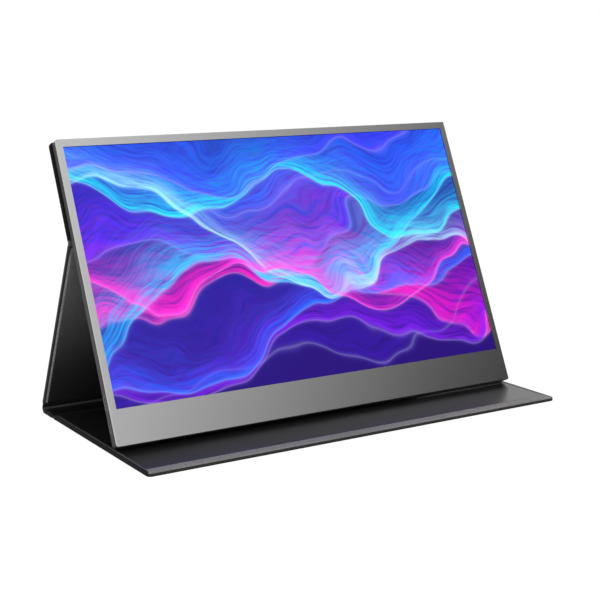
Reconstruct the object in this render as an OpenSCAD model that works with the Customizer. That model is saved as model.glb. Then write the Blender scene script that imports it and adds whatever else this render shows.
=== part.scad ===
// Portable monitor standing on its folding cover.
// X runs along the screen, Y runs to the back and Z up; the origin is under the
// middle of the cover's footprint, on the surface that it stands on.

/* [Monitor casing] */
// Width of the casing
monitor_w = 356; // [310:0.5:420]
// Height of the casing, along the screen
monitor_h = 229.6; // [205:0.1:280]
// Depth of the casing at its bottom edge
depth_bottom = 8.2; // [8:0.1:11]
// Depth of the casing at its top edge
depth_top = 6.9; // [6.4:0.1:7.8]
// Radius of the casing's corners, seen from the front
corner_r = 2.2; // [1:0.1:8]
// Side wall of the rear shell
shell_wall = 1.2; // [1:0.1:1.5]
// Back wall of the rear shell
back_wall = 1; // [0.8:0.1:1.2]
// Bevel along the outer edges of the casing
casing_bevel = 0.5; // [0.2:0.1:0.8]
// Thickness of the front bezel
bezel_t = 1; // [0.8:0.1:1.2]
// Width of the bezel beside the window
bezel_side = 5.3; // [4.3:0.1:20]
// Height of the bezel above the window
bezel_top = 6.1; // [4.3:0.1:20]
// Height of the chin below the window
chin_h = 26.8; // [24:0.1:28]
// Depth of the bezel's skirt inside the rear shell
skirt_depth = 1.4; // [1:0.1:1.8]
// Thickness of the bezel's skirt
skirt_t = 0.9; // [0.6:0.1:1.2]
// Thickness of the stiffening ribs in the rear shell
rib_t = 1; // [0.8:0.1:1.6]

/* [Display stack] */
// Thickness of the glass cell
cell_t = 0.7; // [0.5:0.05:0.9]
// How far the cell reaches behind the bezel at the sides and the top
cell_border = 1.6; // [1:0.1:1.8]
// How far the cell reaches down behind the chin
cell_foot = 5; // [4:0.1:6]
// Thickness of one optical sheet
sheet_t = 0.12; // [0.08:0.01:0.16]
// Thickness of the light guide
guide_t = 0.6; // [0.4:0.05:0.8]
// Thickness of the reflector sheet
reflector_t = 0.12; // [0.08:0.01:0.2]
// Sheet steel of the panel's tray
tray_t = 0.2; // [0.15:0.05:0.3]
// Height of the strip of light emitters below the guide
led_strip_h = 2.4; // [2:0.1:3]

/* [Boards and speakers] */
// Thickness of the circuit boards
board_t = 0.8; // [0.6:0.1:1]
// Length of the main board from the port side
main_board_w = 82; // [60:1:90]
// Height of the main board
main_board_h = 38; // [36:0.5:44]
// Length of a speaker box
speaker_w = 34; // [20:1:40]
// Height of a speaker box
speaker_h = 11; // [8:0.5:11.5]
// Depth of a speaker box
speaker_d = 3.6; // [3:0.1:3.8]
// Gap between the main board and the left speaker; the right one mirrors it
speaker_gap = 5.4; // [2:0.2:10]
// Width of the timing board below the display
panel_board_w = 120; // [80:1:124]
// Height of the timing board
panel_board_h = 10; // [9:0.5:11]

/* [Ports and keys] */
// Height of the video socket above the casing's bottom edge
video_z = 33; // [31:0.5:35]
// Height of the data socket above the casing's bottom edge
data_z = 15.4; // [13:0.2:17]
// Length of the video socket's shell
video_len = 11.2; // [10:0.1:12]
// Length of the data socket's shell
data_len = 8.9; // [8:0.1:9.4]
// Thickness of both socket shells
socket_t = 3.2; // [3:0.05:3.3]
// Depth of both sockets
socket_depth = 7.4; // [6:0.1:9]
// Sheet metal of the socket shells
socket_wall = 0.3; // [0.2:0.05:0.4]
// Radius of the audio socket's bore
audio_r = 1.8; // [1.75:0.01:1.85]
// Depth of the audio socket
audio_depth = 11; // [9:0.5:11]
// Height of the audio socket above the casing's bottom edge
audio_z = 10; // [8:0.5:12]
// Height of the menu wheel's pin above the casing's bottom edge
wheel_z = 30; // [28:0.5:32]
// Radius of the menu wheel
wheel_r = 6; // [5:0.1:6.5]
// Thickness of the menu wheel
wheel_t = 2.2; // [1.8:0.1:2.4]
// How far the menu wheel stands out of the casing's side
wheel_out = 0.9; // [0.5:0.1:1.2]
// Radius of the menu wheel's pin
wheel_pin_r = 1; // [0.8:0.05:1.3]
// Height of the power button above the casing's bottom edge
power_z = 50; // [46:0.5:56]
// Length of the power button
power_len = 10; // [8:0.2:12]
// Thickness of the power button
power_t = 2.2; // [1.8:0.1:2.4]
// How far the power button stands out of the casing's side
power_out = 0.7; // [0.6:0.05:1]
// Travel of the power button
power_travel = 0.4; // [0.3:0.05:0.5]
// Gap round the keys in the casing's side
key_gap = 0.3; // [0.2:0.05:0.4]

/* [Cover] */
// Thickness of each cover panel
cover_t = 3.2; // [2.6:0.1:4]
// How far the cover reaches past each side of the casing
cover_overhang = 1.7; // [1:0.1:4]
// How far the cover reaches past the casing's top edge
cover_top_over = 0.6; // [0:0.1:3]
// Depth of the footprint, from the flap's front edge to the back of the rear fold
flap_depth = 194.6; // [186:0.2:230]
// Height of the upper fold on the casing's back, above its bottom edge
fold_height = 153.3; // [140:0.1:165]
// Radius of the cover's free corners
cover_corner_r = 3.5; // [2:0.5:8]
// Thickness of the outer skin
skin_t = 0.7; // [0.5:0.05:0.9]
// Thickness of the hem that the skin turns over the panel's inner face
hem_t = 0.6; // [0.4:0.05:0.8]
// Width of the hem along the side edges
hem_side = 3.3; // [2:0.1:6]
// Width of the hem along the flap's front edge
hem_front = 9; // [7.5:0.1:14]
// How far the lining lies below the hem
lining_sink = 0.15; // [0.05:0.05:0.3]
// Width of the spine between the rear fold and the flap
spine_w = 17; // [10:0.5:20]
// Width of the soft channel between spine and flap
channel_w = 3.6; // [2.5:0.1:5]
// Depth of the crease in the soft channel
channel_depth = 0.9; // [0.5:0.1:1.2]
// Thickness of the pressed skins at the upper fold
fold_strip = 0.9; // [0.8:0.1:1.8]
// Thickness of the clinging pad between cover and casing
pad_t = 0.3; // [0.2:0.05:0.6]
// Radius of the magnets in the flap
magnet_r = 3; // [2:0.1:3.5]
// Thickness of the magnets in the flap
magnet_t = 1.2; // [0.8:0.1:1.4]

/* [Stand] */
// Lean of the screen from upright
screen_lean = 24.1; // [16:0.1:34]
// Clearance between the casing's bottom edge and the flap
foot_gap = 0.3; // [0.2:0.05:0.5]
// Clearance between panels at a fold
hinge_gap = 0.4; // [0.3:0.05:0.6]

/* [Hidden] */
$fn = 48;
eps = 0.01;
far = 40;

// Casing and stand geometry
taper = atan((depth_bottom - depth_top) / monitor_h);
back_lean = screen_lean - taper;
fold_reach = cover_t + pad_t;
fold_angle = atan(fold_reach / fold_height);
line_angle = 90 - back_lean - fold_angle;
strut_angle = line_angle - fold_angle;
link = sqrt(pow(fold_height, 2) + pow(fold_reach, 2));
axis_z = cover_t + foot_gap;
axis_y = flap_depth / 2 - axis_z;
corner_y = axis_y - 2 * link * cos(line_angle);
face_y = corner_y - depth_bottom * cos(screen_lean);
face_z = axis_z + depth_bottom * sin(screen_lean);
echo(rear_fold_axis = [0, axis_y, axis_z]);
echo(upper_fold_axis = [0, axis_y - link * cos(line_angle), axis_z + link * sin(line_angle)]);
echo(fold_limits = [line_angle - 90 + 0.5, strut_angle - 0.5]);
echo(face_corner = [0, face_y, face_z], face_top = [0, face_y + monitor_h * sin(screen_lean),
    face_z + monitor_h * cos(screen_lean)]);

// Display stack, counted back from the front of the bezel
window_w = monitor_w - 2 * bezel_side;
window_h = monitor_h - chin_h - bezel_top;
cell_w = window_w + 2 * cell_border;
cell_z0 = chin_h - cell_foot;
cell_z1 = chin_h + window_h + cell_border;
cell_y = bezel_t;
tray_y = cell_y + cell_t;
sheet_count = 3;
sheets_end = tray_y + sheet_count * sheet_t;
guide_end = sheets_end + guide_t;
reflector_end = guide_end + reflector_t;
tray_end = reflector_end + tray_t;
stack_clear = 0.1;
led_z0 = cell_z0 + tray_t + stack_clear;
guide_z0 = led_z0 + led_strip_h + stack_clear;
guide_x = cell_w / 2 - tray_t - stack_clear;
guide_z1 = cell_z1 - tray_t - stack_clear;
emitter_count = 44;
emitter_w = 3;

// Places inside the casing
inner_x = monitor_w / 2 - shell_wall;
skirt_clear = 0.15;
seat_clear = 0.05;
board_z0 = 4;
main_back = back_inside(board_z0 + main_board_h) - seat_clear;
main_front = main_back - board_t;
side_clear = 0.4;
main_x0 = -inner_x + side_clear;
main_x1 = main_x0 + main_board_w;
socket_y = back_inside(video_z + video_len / 2) - seat_clear - socket_t / 2;
key_y = socket_y;
cable_t = 0.25;
cable_w = 6;
cable_grip = 8;
cable_bend = 12;
floor_cable_w = 2;
floor_cable_x = 20;
wheel_x = monitor_w / 2 + wheel_out - wheel_r;
key_front = wheel_x - wheel_r - key_gap;
key_board_x = key_front - board_t;
key_board_y = main_back - cable_t;
key_board_margin = 4;
key_board_z = wheel_z - wheel_r - key_board_margin;
key_half = 1.3;
switch_h = 4;
switch_half = 1.1;
emitter_h = 2;
tongue_gap = 1.3;
power_flange = 0.8;
power_flange_rim = 1.2;
light_r = 0.9;
light_z = power_z + power_len / 2 + key_board_margin;
film_gap = 2.6;
film_w = 18;
film_pitch = 28;
film_t = 0.12;
film_lap = 2;
panel_board_z = cell_z0 - panel_board_h - film_gap;
timing_chip_w = 12;
timing_chip_h = 7;
timing_chip_t = 1;
cap_w = 3;
cap_h = 2;
cap_t = 0.7;
cap_pitch = 6;
cap_start = 14;
panel_hole_r = 1;
hole_inset = 3;
audio_lip = 0.85;
audio_wall = 0.7;
audio_body = 2 * (audio_r + audio_wall);
audio_y = back_inside(audio_z + audio_body / 2) - seat_clear - audio_body / 2;
speaker_y = 2.6;
speaker_x = -main_x1 - speaker_gap - speaker_w / 2;
speaker_wall = 0.6;
cone_gap = 0.4;
cone_t = 1;
lead_r = 0.35;
slot_count = 7;
slot_pitch = 4;
slot_len = 2.4;
slot_t = 1.2;
screw_r = 0.8;
screw_head_r = 1.5;
screw_head_t = 0.6;
boss_r = 2.2;
hole_x0 = main_x0 + 14;
hole_x1 = main_x1 - 4;
hole_z0 = board_z0 + hole_inset;
hole_z1 = board_z0 + main_board_h - hole_inset;
board_holes = [[hole_x0, hole_z0], [hole_x1, hole_z0], [hole_x0, hole_z1], [hole_x1, hole_z1]];
chip_t = 1.3;
chip_x = 30;
chip_z = 26;
chip_pitch = 16;
chip_sizes = [12, 9, 6];
coil_w = 2;
coil_h = 1.4;
coil_pitch = 4;
coil_count = 7;
coil_gap = 1.6;
rib_gap = 4;
rib_rows = 4;
rib_pitch = 68.5;
pad_inset = 8;
pad_r = 4;

// Cover
cover_w = monitor_w + 2 * cover_overhang;
panel_board_t = cover_t - skin_t - hem_t;
strut_y0 = axis_z + hinge_gap;
strut_y1 = fold_height - fold_strip;
back_y0 = fold_height + fold_strip + hinge_gap;
back_y1 = monitor_h / cos(taper) + cover_top_over;
flap_y0 = -flap_depth / 2;
hem_spine = 1.5;
spine_y1 = axis_y - fold_strip;
spine_y0 = spine_y1 - spine_w;
flap_y1 = spine_y0 - channel_w;
cover_bevel = 0.4;
fold_r = 0.6;
magnet_y = flap_y0 + hem_front / 2 + skin_t;

// Depth of the back wall's inner face at a height on the casing
function back_inside(z) = depth_bottom - back_wall - z * tan(taper);

// Frames: local Z runs up the screen and local Y into the casing
module on_face() {
    translate([0, face_y, face_z])
        rotate([-screen_lean, 0, 0])
            children();
}

// Local Y runs up the casing's back from its bottom edge; Z points into the casing
module on_back() {
    translate([0, corner_y, axis_z])
        rotate([90 - back_lean, 0, 0])
            translate([0, 0, -pad_t])
                children();
}

// Local Y runs from the rear fold to the upper fold; Z points to the inner side
module on_strut() {
    translate([0, axis_y, axis_z])
        rotate([180 - strut_angle, 0, 0])
            translate([0, 0, -pad_t])
                children();
}

// The flap lies flat with its lining up
module on_desk() {
    translate([0, 0, cover_t])
        children();
}

// Extrudes a profile given in Y and Z along X
module along_x(w, x0) {
    translate([x0, 0, 0])
        rotate([90, 0, 90])
            linear_extrude(w)
                children();
}

// Extrudes an outline given in X and Z from one depth to another
module in_depth(y0, y1) {
    translate([0, y1, 0])
        rotate([90, 0, 0])
            linear_extrude(y1 - y0)
                children();
}

// Rectangle from y0 to y1 with its own corner radius at each end
module outline(w, y0, y1, r0, r1) {
    translate([-w / 2, y0 + r0])
        square([w, y1 - y0 - r0 - r1]);
    translate([-w / 2 + r0, y0])
        square([w - 2 * r0, r0 + eps]);
    translate([-w / 2 + r1, y1 - r1 - eps])
        square([w - 2 * r1, r1 + eps]);
    for (side = [-1, 1]) {
        translate([side * (w / 2 - r0), y0 + r0])
            circle(r = r0);
        translate([side * (w / 2 - r1), y1 - r1])
            circle(r = r1);
    }
}

module box(x0, x1, y0, y1, z0, z1) {
    translate([x0, y0, z0])
        cube([x1 - x0, y1 - y0, z1 - z0]);
}

// Stadium-shaped slot, upright in the casing's side
module slot(len, t) {
    square([t, len - t], center = true);
    for (end = [-1, 1])
        translate([0, end * (len - t) / 2])
            circle(r = t / 2);
}

// Space in front of a plane that lies parallel to the casing's back
module before_back(inset, bevel) {
    translate([0, depth_bottom, 0])
        rotate([taper, 0, 0])
            translate([0, -inset, -far / 2])
                linear_extrude(monitor_h + far)
                    polygon([[-monitor_w / 2, -far], [-monitor_w / 2, -bevel],
                        [-monitor_w / 2 + bevel, 0], [monitor_w / 2 - bevel, 0],
                        [monitor_w / 2, -bevel], [monitor_w / 2, -far]]);
}

module casing_outline(inset) {
    r = max(corner_r - inset, 0.4);
    outline(monitor_w - 2 * inset, inset, monitor_h - inset, r, r);
}

module window_outline() {
    translate([-window_w / 2, chin_h])
        square([window_w, window_h]);
}

// Front frame and chin in one piece, with a skirt that locates it in the rear shell
module front_bezel() {
    on_face() color([0.50, 0.50, 0.51]) {
        difference() {
            intersection() {
                in_depth(0, bezel_t)
                    casing_outline(0);
                along_x(monitor_w, -monitor_w / 2)
                    polygon([[0, casing_bevel], [casing_bevel, 0], [bezel_t, 0], [bezel_t, monitor_h],
                        [casing_bevel, monitor_h], [0, monitor_h - casing_bevel]]);
                linear_extrude(monitor_h)
                    polygon([[-monitor_w / 2 + casing_bevel, 0], [-monitor_w / 2, casing_bevel],
                        [-monitor_w / 2, bezel_t], [monitor_w / 2, bezel_t],
                        [monitor_w / 2, casing_bevel], [monitor_w / 2 - casing_bevel, 0]]);
            }
            in_depth(-eps, bezel_t + eps)
                window_outline();
        }
        difference() {
            in_depth(bezel_t - eps, bezel_t + skirt_depth)
                casing_outline(shell_wall + skirt_clear);
            in_depth(bezel_t - 2 * eps, bezel_t + skirt_depth + eps)
                casing_outline(shell_wall + skirt_clear + skirt_t);
            box(inner_x - 4, inner_x, 0, far, audio_z - audio_body, audio_z + audio_body);
        }
    }
}

// Openings in both side walls
module side_cuts() {
    along_x(monitor_w, -monitor_w) {
        translate([socket_y, video_z])
            square([socket_t + 2 * seat_clear, video_len + 2 * seat_clear], center = true);
        translate([socket_y, data_z])
            slot(data_len + 2 * seat_clear, socket_t + 2 * seat_clear);
    }
    along_x(monitor_w, 0) {
        translate([audio_y, audio_z])
            circle(r = audio_r + audio_lip + seat_clear);
        translate([key_y, power_z])
            slot(power_len + 2 * key_gap, power_t + 2 * key_gap);
        translate([key_y, wheel_z])
            square([wheel_t + 2 * key_gap, 2 * wheel_r + 2 * key_gap], center = true);
        translate([key_y, light_z])
            circle(r = light_r);
    }
}

// Slots in the bottom wall below one speaker
module sound_slots(side) {
    for (i = [0:slot_count - 1])
        translate([side * speaker_x + (i - (slot_count - 1) / 2) * slot_pitch, speaker_y + speaker_d / 2,
            -eps])
            linear_extrude(shell_wall + 2 * eps)
                slot(slot_len, slot_t);
}

// Solid form of the rear shell before it is hollowed
module shell_form() {
    intersection() {
        in_depth(bezel_t, depth_bottom)
            casing_outline(0);
        before_back(0, casing_bevel);
        along_x(monitor_w, -monitor_w / 2)
            polygon([[bezel_t, 0], [depth_bottom - casing_bevel, 0], [depth_bottom, casing_bevel],
                [depth_bottom, monitor_h], [depth_top - casing_bevel, monitor_h], [bezel_t, monitor_h]]);
    }
}

// Back casing with ribs behind the display, board bosses and the side openings
module rear_shell() {
    rib_z0 = board_z0 + main_board_h + rib_gap;
    rib_z1 = cell_z1;
    on_face() color([0.30, 0.30, 0.31]) {
        difference() {
            shell_form();
            intersection() {
                in_depth(bezel_t - eps, depth_bottom)
                    casing_outline(shell_wall);
                before_back(back_wall, 0);
            }
            side_cuts();
            for (side = [-1, 1])
                sound_slots(side);
            board_drills();
        }
        difference() {
            intersection() {
                union() {
                    for (row = [0:rib_rows]) {
                        z = rib_z0 + row * (rib_z1 - rib_z0) / rib_rows;
                        box(-inner_x - eps, inner_x + eps, tray_end, depth_bottom, z - rib_t, z);
                    }
                    for (i = [-2:2])
                        box(i * rib_pitch - rib_t / 2, i * rib_pitch + rib_t / 2, tray_end, depth_bottom,
                            rib_z0 - rib_t, rib_z1);
                }
                before_back(back_wall / 2, 0);
            }
            box(key_board_x - 2, monitor_w, 0, depth_bottom, 0, light_z + 6);
        }
        difference() {
            intersection() {
                for (p = board_holes)
                    translate([p[0], main_back, p[1]])
                        rotate([-90, 0, 0])
                            cylinder(r = boss_r, h = far / 8);
                before_back(back_wall / 2, 0);
            }
            board_drills();
        }
        intersection() {
            translate([wheel_x, key_y - wheel_t / 2 - 0.3, wheel_z])
                rotate([-90, 0, 0])
                    cylinder(r = wheel_pin_r, h = far / 8);
            before_back(back_wall / 2, 0);
        }
    }
}

module board_drills() {
    for (p = board_holes)
        translate([p[0], main_back - eps, p[1]])
            rotate([-90, 0, 0])
                cylinder(r = screw_r, h = back_wall * 0.6);
}

module lcd_cell() {
    on_face() color([0.16, 0.12, 0.42])
        box(-cell_w / 2, cell_w / 2, cell_y, tray_y, cell_z0, cell_z1);
}

// Folded steel tray that holds the sheets, the guide and the strip of emitters
module panel_tray() {
    on_face() color([0.62, 0.63, 0.64])
        difference() {
            box(-cell_w / 2, cell_w / 2, tray_y, tray_end, cell_z0, cell_z1);
            box(-cell_w / 2 + tray_t, cell_w / 2 - tray_t, tray_y - eps, reflector_end,
                cell_z0 + tray_t, cell_z1 - tray_t);
        }
}

module optical_sheets() {
    on_face() color([0.92, 0.93, 0.94])
        for (i = [0:sheet_count - 1])
            box(-guide_x, guide_x, tray_y + i * sheet_t, tray_y + (i + 1) * sheet_t - eps, guide_z0,
                guide_z1);
}

module light_guide() {
    on_face() color([0.85, 0.90, 0.93])
        box(-guide_x, guide_x, sheets_end, guide_end, guide_z0, guide_z1);
}

module reflector_sheet() {
    on_face() color([0.95, 0.95, 0.95])
        box(-guide_x, guide_x, guide_end, reflector_end, led_z0, guide_z1);
}

// Narrow strip with a row of light emitters that shine up into the guide
module led_strip() {
    pitch = 2 * guide_x / emitter_count;
    on_face() color([0.95, 0.92, 0.70]) {
        box(-guide_x, guide_x, sheets_end, guide_end, led_z0, led_z0 + led_strip_h / 2);
        for (i = [0:emitter_count - 1])
            translate([(i + 0.5 - emitter_count / 2) * pitch, 0, led_z0 + led_strip_h / 2 - eps])
                box(-emitter_w / 2, emitter_w / 2, sheets_end + guide_t / 10, guide_end - guide_t / 10, 0,
                    led_strip_h / 2);
    }
}

// Timing board below the cell, with its chips on the back
module panel_board() {
    back = tray_y + board_t;
    cap_z = panel_board_z + (panel_board_h - cap_h) / 2;
    chip_z0 = panel_board_z + (panel_board_h - timing_chip_h) / 2;
    on_face() color([0.08, 0.30, 0.16])
        difference() {
            union() {
                box(-panel_board_w / 2, panel_board_w / 2, tray_y, back, panel_board_z,
                    panel_board_z + panel_board_h);
                box(-timing_chip_w / 2, timing_chip_w / 2, back - eps, back + timing_chip_t, chip_z0,
                    chip_z0 + timing_chip_h);
                for (i = [0:5])
                    box(cap_start + i * cap_pitch, cap_start + i * cap_pitch + cap_w, back - eps,
                        back + cap_t, cap_z, cap_z + cap_h);
            }
            for (side = [-1, 1])
                translate([side * (panel_board_w / 2 - hole_inset), 0,
                    panel_board_z + panel_board_h - hole_inset])
                    rotate([-90, 0, 0])
                        cylinder(r = panel_hole_r, h = far);
        }
}

// Thin films that join the cell's lower edge to the timing board
module source_films() {
    on_face() color([0.55, 0.38, 0.12])
        for (i = [-1.5:1.5])
            box(i * film_pitch - film_w / 2, i * film_pitch + film_w / 2, tray_y - film_t, tray_y,
                panel_board_z + panel_board_h - film_lap, cell_z0);
}

// Flat cable that steps back from the timing board to the main board
module display_cable() {
    x0 = main_x1 - cable_bend;
    x1 = -panel_board_w / 2 + cable_grip;
    y0 = main_front - cable_t;
    y1 = tray_y + board_t;
    on_face() color([0.86, 0.84, 0.76])
        translate([0, 0, panel_board_z + panel_board_h - cable_w])
            linear_extrude(cable_w)
                polygon([[x0, y0], [x0 + 2 * cable_grip, y0], [x1 - cable_bend, y1], [x1, y1],
                    [x1, y1 + cable_t], [x1 - cable_bend, y1 + cable_t],
                    [x0 + 2 * cable_grip, y0 + cable_t], [x0, y0 + cable_t]]);
}

// Clearance cut round one socket in the edge of the main board
module socket_cut(z, len) {
    box(main_x0 - far, -monitor_w / 2 + socket_depth + 2 * seat_clear, 0, far, z - len / 2 - seat_clear,
        z + len / 2 + seat_clear);
}

// Controller board beside the sockets, with its chips and coils on the front
module main_board() {
    coil_z = board_z0 + main_board_h - coil_gap - coil_h;
    on_face() color([0.07, 0.27, 0.14])
        difference() {
            union() {
                box(main_x0, main_x1, main_front, main_back, board_z0, board_z0 + main_board_h);
                for (i = [0:len(chip_sizes) - 1])
                    translate([main_x0 + chip_x + i * chip_pitch, 0, board_z0 + chip_z - chip_sizes[i] / 2])
                        box(0, chip_sizes[i], main_front - chip_t, main_front + eps, 0, chip_sizes[i]);
                for (i = [0:coil_count - 1])
                    translate([main_x0 + chip_x + i * coil_pitch, 0, coil_z])
                        box(0, coil_w, main_front - chip_t / 2, main_front + eps, 0, coil_h);
            }
            socket_cut(video_z, video_len);
            socket_cut(data_z, data_len);
            for (p = board_holes)
                translate([p[0], 0, p[1]])
                    rotate([-90, 0, 0])
                        cylinder(r = screw_r + seat_clear, h = far);
        }
}

// Socket mouth with its two cut corners towards the casing's back
module video_outline(inset) {
    cut = 1.1;
    a = video_len / 2 - inset;
    t = socket_t / 2 - inset;
    polygon([[-t, -a], [t - cut * 1.3, -a], [t, -a + cut], [t, a - cut], [t - cut * 1.3, a], [-t, a]]);
}

// Sheet-metal shell with its tongue, mouth flush with the casing's side
module socket_body(tongue_len) {
    tongue_t = 0.7;
    tongue_back = 1;
    difference() {
        along_x(socket_depth, -monitor_w / 2)
            children(0);
        along_x(socket_depth - socket_wall, -monitor_w / 2 - eps)
            children(1);
    }
    box(-monitor_w / 2 + tongue_back, -monitor_w / 2 + socket_depth - socket_wall + eps, -tongue_t / 2,
        tongue_t / 2, -tongue_len / 2, tongue_len / 2);
}

module video_socket() {
    on_face() color([0.72, 0.72, 0.73])
        translate([0, socket_y, video_z])
            socket_body(video_len - 2 * tongue_gap) {
                video_outline(0);
                video_outline(socket_wall);
            }
}

module data_socket() {
    on_face() color([0.72, 0.72, 0.73])
        translate([0, socket_y, data_z])
            socket_body(data_len - 2 * tongue_gap) {
                slot(data_len, socket_t);
                slot(data_len - 2 * socket_wall, socket_t - 2 * socket_wall);
            }
}

// Round socket in a square moulded body
module audio_socket() {
    on_face() color([0.10, 0.10, 0.10])
        translate([monitor_w / 2, audio_y, audio_z])
            difference() {
                union() {
                    box(-audio_depth, -shell_wall, -audio_body / 2, audio_body / 2, -audio_body / 2,
                        audio_body / 2);
                    translate([-shell_wall - eps, 0, 0])
                        rotate([0, 90, 0])
                            cylinder(r = audio_r + audio_lip, h = shell_wall + eps);
                }
                translate([-audio_depth + 1, 0, 0])
                    rotate([0, 90, 0])
                        cylinder(r = audio_r, h = audio_depth);
            }
}

// Small board behind the keys, with a switch and an emitter
module key_board() {
    switch_x = monitor_w / 2 - shell_wall - power_flange - 2 * key_gap - power_travel;
    z1 = light_z + key_board_margin;
    on_face() color([0.07, 0.27, 0.14]) {
        box(key_board_x, key_front, key_y - key_half, key_board_y, key_board_z, z1);
        box(key_front - eps, switch_x, key_y - switch_half, key_y + switch_half, power_z - switch_h / 2,
            power_z + switch_h / 2);
        box(key_front - eps, key_front + emitter_h, key_y - light_r, key_y + light_r, light_z - light_r,
            light_z + light_r);
    }
}

// Flat cable along the casing's floor, from the main board to the key board
module key_cable() {
    on_face() color([0.86, 0.84, 0.76]) {
        box(main_x0 + floor_cable_x, key_front, key_board_y, main_back, board_z0 - floor_cable_w, board_z0);
        box(key_board_x, key_front, key_board_y, main_back, board_z0 - eps, key_board_z + cable_w);
    }
}

// Oblong key with a flange that keeps it in the casing
module power_button() {
    on_face() color([0.20, 0.20, 0.21])
        translate([monitor_w / 2, key_y, power_z]) {
            along_x(shell_wall + key_gap + power_out + eps, -shell_wall - key_gap - eps)
                slot(power_len, power_t);
            along_x(power_flange, -shell_wall - key_gap - power_flange)
                slot(power_len + 2 * power_flange_rim, power_t + 0.4);
        }
}

// Knurled wheel on a pin; it rocks up and down
module menu_wheel() {
    notches = 30;
    notch_r = 0.35;
    on_face() color([0.20, 0.20, 0.21])
        translate([wheel_x, key_y, wheel_z])
            rotate([90, 0, 0])
                difference() {
                    translate([0, 0, -wheel_t / 2])
                        cylinder(r = wheel_r, h = wheel_t);
                    translate([0, 0, -wheel_t])
                        cylinder(r = wheel_pin_r + 0.05, h = 2 * wheel_t);
                    for (i = [0:notches - 1])
                        rotate([0, 0, i * 360 / notches])
                            translate([wheel_r + notch_r / 3, 0, -wheel_t])
                                cylinder(r = notch_r, h = 2 * wheel_t);
                }
}

// Moulded speaker box with a round-ended cone window towards the slots
module speaker(side) {
    window_len = speaker_w - 10 * speaker_wall;
    window_t = speaker_d - 2 * speaker_wall;
    on_face() color([0.12, 0.12, 0.13])
        translate([side * speaker_x, speaker_y, shell_wall + seat_clear]) {
            difference() {
                box(-speaker_w / 2, speaker_w / 2, 0, speaker_d, 0, speaker_h);
                translate([0, speaker_d / 2, -eps])
                    linear_extrude(cone_t + eps)
                        rotate([0, 0, 90])
                            slot(window_len, window_t);
            }
            translate([0, speaker_d / 2, cone_gap])
                linear_extrude(cone_t)
                    rotate([0, 0, 90])
                        slot(window_len - 2 * speaker_wall, window_t - speaker_wall);
        }
}

module speaker_left() {
    speaker(-1);
}

module speaker_right() {
    speaker(1);
}

// Twin leads from the main board over each speaker
module speaker_leads() {
    lead_z = shell_wall + seat_clear + speaker_h + lead_r;
    y0 = speaker_y + speaker_d - lead_r;
    on_face() color([0.55, 0.08, 0.08])
        for (i = [0:1])
            translate([main_x1, y0 - 3 * i * lead_r, lead_z])
                rotate([0, 90, 0])
                    cylinder(r = lead_r, h = (i == 0 ? -1 : 1) * speaker_x - main_x1);
}

// Screws that hold the main board on its bosses
module board_screws() {
    on_face() color([0.70, 0.70, 0.70])
        for (p = board_holes)
            translate([p[0], main_front - screw_head_t, p[1]])
                rotate([-90, 0, 0]) {
                    cylinder(r = screw_head_r, h = screw_head_t);
                    cylinder(r = screw_r - seat_clear, h = screw_head_t + board_t + back_wall * 0.5);
                }
}

// Light pipe beside the power button
module status_light() {
    on_face() color([0.85, 0.88, 0.90])
        translate([key_front + emitter_h, key_y, light_z])
            rotate([0, 90, 0])
                cylinder(r = light_r - seat_clear, h = monitor_w / 2 - key_front - emitter_h);
}

// Solid form of a cover panel; its inner face is at z = 0
module panel_form(y0, y1, r0, r1) {
    intersection() {
        translate([0, 0, -cover_t])
            linear_extrude(cover_t)
                outline(cover_w, y0, y1, r0, r1);
        translate([0, y1, 0])
            rotate([90, 0, 0])
                linear_extrude(y1 - y0)
                    polygon([[-cover_w / 2 + cover_bevel, -cover_t], [cover_w / 2 - cover_bevel, -cover_t],
                        [cover_w / 2, -cover_t + cover_bevel], [cover_w / 2, -cover_bevel],
                        [cover_w / 2 - cover_bevel, 0], [-cover_w / 2 + cover_bevel, 0],
                        [-cover_w / 2, -cover_bevel], [-cover_w / 2, -cover_t + cover_bevel]]);
    }
}

// Board between the skins, from one end to the other
module panel_core(y0, y1, r0, r1) {
    translate([0, 0, -cover_t + skin_t])
        linear_extrude(panel_board_t)
            outline(cover_w - 2 * skin_t, y0 + skin_t, y1 - skin_t, max(r0 - skin_t, fold_r),
                max(r1 - skin_t, fold_r));
}

// Area that the hem leaves open on the inner face
module panel_field(y0, y1, z0, z1, hem = hem_side) {
    translate([0, 0, z0])
        linear_extrude(z1 - z0)
            outline(cover_w - 2 * hem, y0, y1, fold_r, fold_r);
}

module back_skin() {
    on_back() color([0.07, 0.07, 0.07])
        difference() {
            panel_form(back_y0, back_y1, fold_r, cover_corner_r);
            panel_core(back_y0, back_y1, fold_r, cover_corner_r);
            panel_field(back_y0 + hem_side, back_y1 - hem_front, -hem_t - eps, eps);
        }
}

module back_board() {
    on_back() color([0.45, 0.40, 0.33])
        panel_core(back_y0, back_y1, fold_r, cover_corner_r);
}

// Clinging pad between the cover and the casing's back
module cling_pad() {
    on_back() color([0.18, 0.18, 0.19])
        linear_extrude(pad_t)
            outline(monitor_w - 2 * pad_inset, back_y0 + pad_inset / 2, back_y1 - pad_inset, pad_r, pad_r);
}

module strut_skin() {
    on_strut() color([0.09, 0.09, 0.09])
        difference() {
            panel_form(strut_y0, strut_y1, fold_r, fold_r);
            panel_core(strut_y0, strut_y1, fold_r, fold_r);
            panel_field(strut_y0 + hem_side, strut_y1 - hem_side, -hem_t - eps, eps);
        }
}

module strut_board() {
    on_strut() color([0.45, 0.40, 0.33])
        panel_core(strut_y0, strut_y1, fold_r, fold_r);
}

module strut_lining() {
    on_strut() color([0.14, 0.14, 0.14])
        panel_field(strut_y0 + hem_side, strut_y1 - hem_side, -hem_t, -lining_sink);
}

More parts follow.
